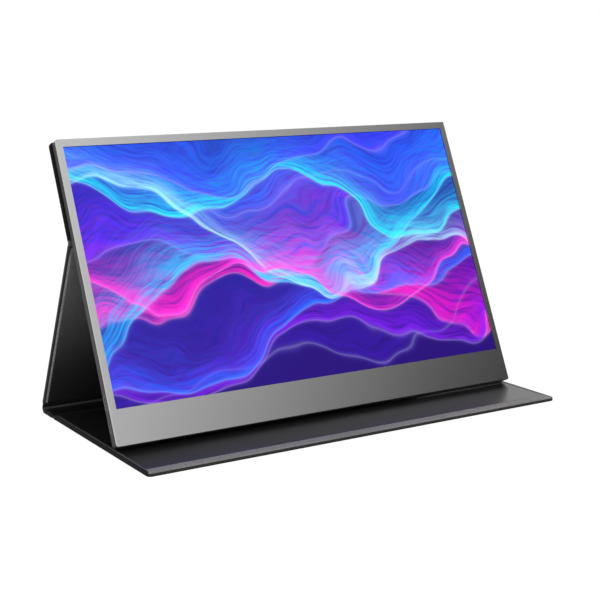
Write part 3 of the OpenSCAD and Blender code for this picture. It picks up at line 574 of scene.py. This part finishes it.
print("cover panels")
flapPanel = {"half": half, "y0": flapFront, "y1": flapEnd, "r0": stand["corner"], "r1": stand["cornerFold"],
             "t": stand["thick"], "hem": (stand["hemSide"], stand["hemFront"], stand["hemSide"]), "wave": 0.10,
             "shades": (look["light"], look["hem"], look["face"], look["hem"])}
spinePanel = {"half": half, "y0": spineStart, "y1": spineEnd, "r0": stand["cornerFold"], "r1": stand["cornerFold"],
              "t": stand["thick"], "hem": (stand["hemSpine"],) * 3, "wave": 0.03}
strutPanel = {"half": half, "y0": strutStart, "y1": strutEnd, "r0": stand["cornerFold"], "r1": stand["cornerFold"],
              "t": stand["thick"], "hem": (stand["hemSide"], stand["hemFold"], stand["hemFold"]), "wave": 0.10,
              "dark": 1.4, "shades": (look["face"], look["hem"], look["hem"], look["hem"])}
backPanel = {"half": half, "y0": backStart, "y1": backEnd, "r0": stand["cornerFold"], "r1": stand["corner"],
             "t": stand["thick"], "hem": (stand["hemSide"], stand["hemSide"], stand["hemFront"]), "wave": 0.06}

# the cover's rims and hems here wear painted highlights and painted shade, copies of the one hide lit or shaded by
# paint
flapSkin = panelPiece("flapSkin", flapPanel, shellRings(flapPanel), onDesk,
                      (hideBlack, hideHemHighlight, hideEdgeShade, hideFrontHighlight, hideLipDimHighlight))
spineSkin = panelPiece("spineSkin", spinePanel, shellRings(spinePanel), onDesk, (hideBlack, hideBlack, hideEdgeShade),
                       (28, 3, 5))
strutSkin = panelPiece("strutSkin", strutPanel, shellRings(strutPanel), onStrut, (hideBlack, hideRimHighlight, hideBlack))
backSkin = panelPiece("backSkin", backPanel, shellRings(backPanel), onBack, (hideBlack, hideEdgeShade, hideEdgeShade))
flapLining = panelPiece("flapLining", flapPanel, liningRings(flapPanel), onDesk, (liningDark,), (40, 24, 2))
spineLining = panelPiece("spineLining", spinePanel, liningRings(spinePanel), onDesk, (liningDark,), (40, 3, 2))
strutLining = panelPiece("strutLining", strutPanel, liningRings(strutPanel), onStrut, (liningPaintedLight,), (40, 24, 2))

band = {"rows": 90, "ends": ((0, 0.25), (0.1, 0.7), (0.35, 0.95)), "full": 0.8}  # how full it is near its ends


def bandPiece(name, outer, thick, place, materials, reach=0.5, crease=0.05, split=99):
    # a strip of skin along X: outer surface as a path of (y, z), thickness to its left;
    # from the split on along the path, it is of the second material
    bm = bmesh.new()
    count = len(outer)
    normals = []
    for i in range(count):
        a, b = outer[max(i - 1, 0)], outer[min(i + 1, count - 1)]
        d = math.hypot(b[0] - a[0], b[1] - a[1])
        normals.append((-(b[1] - a[1]) / d, (b[0] - a[0]) / d))
    w = half - reach
    stations = [(-w + x, full) for x, full in band["ends"]]
    stations += [(-w + band["full"] + (2 * w - 2 * band["full"]) * i / band["rows"], 1.0)
                 for i in range(band["rows"] + 1)]
    stations += [(w - x, full) for x, full in reversed(band["ends"])]
    loops = []
    for x, full in stations:
        ring = []
        for i, ((y, z), n) in enumerate(zip(outer, normals)):
            k = thick * (1 - full) / 2 + crease * noise.noise(Vector((x * 0.05, i * 0.9, 3)))
            ring.append(bm.verts.new((x, y + n[0] * k, z + n[1] * k)))
        for (y, z), n in zip(reversed(outer), reversed(normals)):
            k = thick * (1 + full) / 2
            ring.append(bm.verts.new((x, y + n[0] * k, z + n[1] * k)))
        loops.append(ring)
    for a, b in zip(loops, loops[1:]):
        for k in range(len(a)):
            n = (k + 1) % len(a)
            face = bm.faces.new((a[k], a[n], b[n], b[k]))
            face.material_index = int((k if k < count else 2 * count - 2 - k) >= split)
    for ring in (loops[0], loops[-1]):
        bm.faces.new(ring)
    return finishMesh(name, bm, place, materials)


print("folds")
rear = {"recess": 0.3, "skin": 1.0, "tuck": 1.6, "start": 0.6, "steps": 12, "climb": (1.2, 2.4)}
rollR = axisZ - rear["recess"]
up = math.radians(90 - strutAngle)  # where the roll meets the strut's outer face
roll = [(axisY - rear["tuck"], axisZ - rollR), (axisY - rear["start"], axisZ - rollR)]
for k in range(rear["steps"] + 1):
    a = -math.pi / 2 + (math.pi / 2 + up) * k / rear["steps"]
    roll.append((axisY + rollR * math.cos(a), axisZ + rollR * math.sin(a)))
for s in (*rear["climb"], strutStart, strutStart + rear["tuck"]):
    roll.append((axisY + rollR * math.cos(up) - s * math.sin(up), axisZ + rollR * math.sin(up) + s * math.cos(up)))
rearRoll = bandPiece("rearRoll", roll, rear["skin"], asDrawn, (hideBlack,))

knee = {"recess": 0.12, "skin": 2.4, "tuck": 1.6, "rounding": 0.9, "steps": 8, "reach": 0.1}


def kneePath():  # the skins pressed together in the corner of the upper fold, in the strut's own axes
    level = knee["recess"] - stand["thick"]
    fromBack = onStrut.inverted() @ onBack
    onto = []
    for y in (backStart, backStart + knee["tuck"]):
        q = fromBack @ Vector((0, y * mm, level * mm))
        onto.append((q.y / mm, q.z / mm))
    (y0, z0), (y1, z1) = onto
    size = math.hypot(y1 - y0, z1 - z0)
    slope = ((y1 - y0) / size, (z1 - z0) / size)
    cornerAt = y0 - (z0 - level) / slope[1] * slope[0]
    path = [(strutEnd - knee["tuck"], level), (strutEnd, level)]
    for k in range(knee["steps"] + 1):
        s = k / knee["steps"]
        a = cornerAt - knee["rounding"] * (1 - s)
        b = (cornerAt + knee["rounding"] * s * slope[0], level + knee["rounding"] * s * slope[1])
        path.append((a + (b[0] - a) * s, level + (b[1] - level) * s))
    return path + onto


# the knee of the upper fold wears the hems' painted highlight
upperBand = bandPiece("upperBand", kneePath(), knee["skin"], onStrut, (hideHemHighlight,), knee["reach"])

# inner skin in the crease between spine and strut: its foot on the spine in the hems' painted highlight, then up the
# strut
crease = {"foot": ((-2.4, -0.75), (-1.3, -0.62), (-0.6, -0.35), (-0.25, 0.15)), "climb": (0.9, 2.6), "past": 1.2,
          "off": (0.4, 0.2), "skin": 0.3, "reach": 0.7}
alongUp = (-math.cos(math.radians(strutAngle)), math.sin(math.radians(strutAngle)))
creasePath = [(axisY + y, axisZ + z) for y, z in crease["foot"]]
for s in (*crease["climb"], strutStart + crease["past"]):
    creasePath.append((axisY + alongUp[0] * s + crease["off"][0], axisZ + alongUp[1] * s + crease["off"][1]))
innerCrease = bandPiece("innerCrease", creasePath, -crease["skin"], asDrawn, (hideHemHighlight, hideBlack), crease["reach"],
                        split=len(crease["foot"]))

# soft channel between spine and flap
channel = {"lap": 0.5, "steps": 14, "top": 0.45, "sag": 0.5, "skin": 0.8,
           "underTop": 0.25, "underSag": 0.1, "underSkin": 0.9}
over, under = [], []
for k in range(channel["steps"] + 1):
    s = k / channel["steps"]
    y = flapEnd - channel["lap"] + (spineStart - flapEnd + 2 * channel["lap"]) * s
    over.append((y, -channel["top"] - channel["sag"] * math.sin(math.pi * s)))
    under.append((y, -stand["thick"] + channel["underTop"] + channel["underSag"] * math.sin(math.pi * s)))
channelTop = bandPiece("channelTop", over, -channel["skin"], onDesk, (hideBlack,))
channelUnder = bandPiece("channelUnder", under, channel["underSkin"], onDesk, (hideBlack,))

# low rib under the lining cloth, which the casing's lower edge stands against; it wears the edges' painted shade
rib = {"forward": 0.4, "halfWidth": 2.6, "foot": 0.25, "rise": 0.54, "fullness": 0.8, "steps": 12, "skin": 0.3,
       "reach": 4.5}
swell = []
for k in range(rib["steps"] + 1):
    s = 2 * k / rib["steps"] - 1
    swell.append((cornerY + rib["forward"] + rib["halfWidth"] * s,
                  -rib["foot"] + rib["rise"] * math.cos(math.pi * s / 2) ** rib["fullness"]))
seatRib = bandPiece("seatRib", swell, -rib["skin"], onDesk, (hideEdgeShade,), rib["reach"], crease=0.0)

for piece, node in ((flapSkin, "flap_skin"), (flapLining, "flap_lining"), (spineLining, "spine_lining"),
                    (strutSkin, "strut_skin"), (strutLining, "strut_lining"), (backSkin, "back_skin"),
                    (rearRoll, "rear_fold"), (upperBand, "upper_fold")):
    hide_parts(node)
for piece in (flapSkin, spineSkin, flapLining, spineLining, channelTop, channelUnder, seatRib):
    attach(piece, "flap")
for piece in (strutSkin, strutLining):
    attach(piece, "strut")
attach(backSkin, "monitor")
roll[-2][0] * mm
roll[-2][1] * mm
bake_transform(rearRoll)
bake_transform(upperBand)
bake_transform(innerCrease)


print("floor, lamp and sky")
studio = {"floor": 12.0, "floorTone": (0.74, 0.74, 0.74), "floorDrop": 0.00005, "white": 1.25, "mixed": 0.74,
          "sky": 0.62, "slope": (-3.2, 0.60, 1.10), "level": 1.97, "behind": 2.6, "least": 0.02, "most": 1.05,
          "hood": (0.68, 0.92), "overhead": 0.04,
          "key": 5.0, "keyPlace": (-0.5, -1.2, 1.6), "keyAim": (0, 0, 0.1), "keySize": (1.4, 1.0)}


def setStage():
    bm = bmesh.new()
    bmesh.ops.create_grid(bm, x_segments=8, y_segments=8, size=studio["floor"])
    mesh = bpy.data.meshes.new("floor")
    bm.to_mesh(mesh)
    bm.free()
    floor = bpy.data.objects.new("floor", mesh)
    floor.location.z = -studio["floorDrop"]
    bpy.context.scene.collection.objects.link(floor)
    f = Finish("paleFloor", Base_Color=studio["floorTone"], Roughness=0.9, Specular_IOR_Level=0.1)
    plain = f.node("Emission", {}, {0: (1.0, 1.0, 1.0), 1: studio["white"]})
    rays = f.node("LightPath", {}, {}, "Is Camera Ray")
    mixed = f.node("MixShader", {}, {0: rays * studio["mixed"], 1: Wire(f, f.shader.outputs[0]), 2: plain})
    f.feed(f.output.inputs[0], mixed)
    floor.data.materials.append(f.material)


def setSky():  # darker to the front right and, for reflections, overhead
    world = bpy.data.worlds.new("studioSky")
    bpy.context.scene.world = world
    world.use_nodes = True
    sky = Nodes(world.node_tree)
    out = sky.tree.nodes.new("ShaderNodeOutputWorld")
    way = sky.node("TexCoord", {}, {}, "Generated")
    fall = sky.along(way, studio["slope"]) + studio["level"]
    away = sky.along(way, (0.0, 1.0, 0.0))
    fall = fall + studio["behind"] * sky.maths("MAXIMUM", away, 0.0)
    fall = sky.maths("MINIMUM", sky.maths("MAXIMUM", fall, studio["least"]), studio["most"])
    tone = sky.node("CombineColor", {}, {0: fall, 1: fall, 2: fall})
    lit = sky.node("Background", {}, {0: tone, 1: studio["sky"]})
    white = sky.node("Background", {}, {0: (1.0, 1.0, 1.0), 1: 1.0})
    hood = sky.step(sky.along(way, (0.0, 0.0, 1.0)), *studio["hood"], 1.0, studio["overhead"])
    glossy = sky.node("Background", {}, {0: tone, 1: hood})
    isCamera = sky.node("LightPath", {}, {}, "Is Camera Ray")
    isGlossy = sky.node("LightPath", {}, {}, "Is Glossy Ray")
    seen = sky.node("MixShader", {}, {0: isGlossy, 1: lit, 2: glossy})
    sky.feed(out.inputs[0], sky.node("MixShader", {}, {0: isCamera, 1: seen, 2: white}))


def setLamp():
    data = bpy.data.lights.new("keyLamp", "AREA")
    data.shape = "RECTANGLE"
    data.size, data.size_y = studio["keySize"]
    data.energy = studio["key"]
    lamp = bpy.data.objects.new("keyLamp", data)
    lamp.location = studio["keyPlace"]
    aim = Vector(studio["keyAim"]) - Vector(studio["keyPlace"])
    lamp.rotation_euler = aim.to_track_quat("-Z", "Y").to_euler()
    bpy.context.scene.collection.objects.link(lamp)


setStage()
setSky()
setLamp()
bpy.context.scene.view_settings.view_transform = "Standard"
